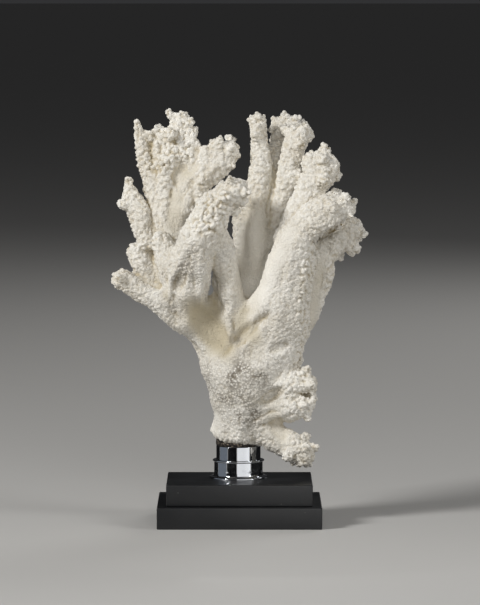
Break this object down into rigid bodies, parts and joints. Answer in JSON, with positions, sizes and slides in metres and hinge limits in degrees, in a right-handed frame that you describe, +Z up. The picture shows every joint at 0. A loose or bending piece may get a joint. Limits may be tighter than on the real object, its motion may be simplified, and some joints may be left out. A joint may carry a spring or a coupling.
{
  "type": "branching coral",
  "caption": "White branching coral skeleton with knobbly fingers and fans, set in a polished metal collar on a stepped black plinth for display.",
  "frame": {"origin": "middle of the plinth's underside", "axes": "+Z up, +X to the viewer's right, -Y towards the viewer"},
  "size_m": [0.192, 0.1, 0.3146],
  "materials": {
    "lacquered_wood": "satin black lacquer",
    "chrome": "polished chrome plate",
    "setting_putty": "rough dark epoxy putty",
    "coral": "bleached matt aragonite skeleton"
  },
  "bodies": {
    "root": {"plinth_lower": "lacquered_wood", "plinth_upper": "lacquered_wood", "collar": "chrome", "setting_putty": "setting_putty", "coral_trunk": "coral", "coral_left_branch": "coral", "coral_left_front_branch": "coral", "coral_middle_branch": "coral", "coral_right_front_branch": "coral", "coral_right_rear_branch": "coral"}
  },
  "joints": []
}
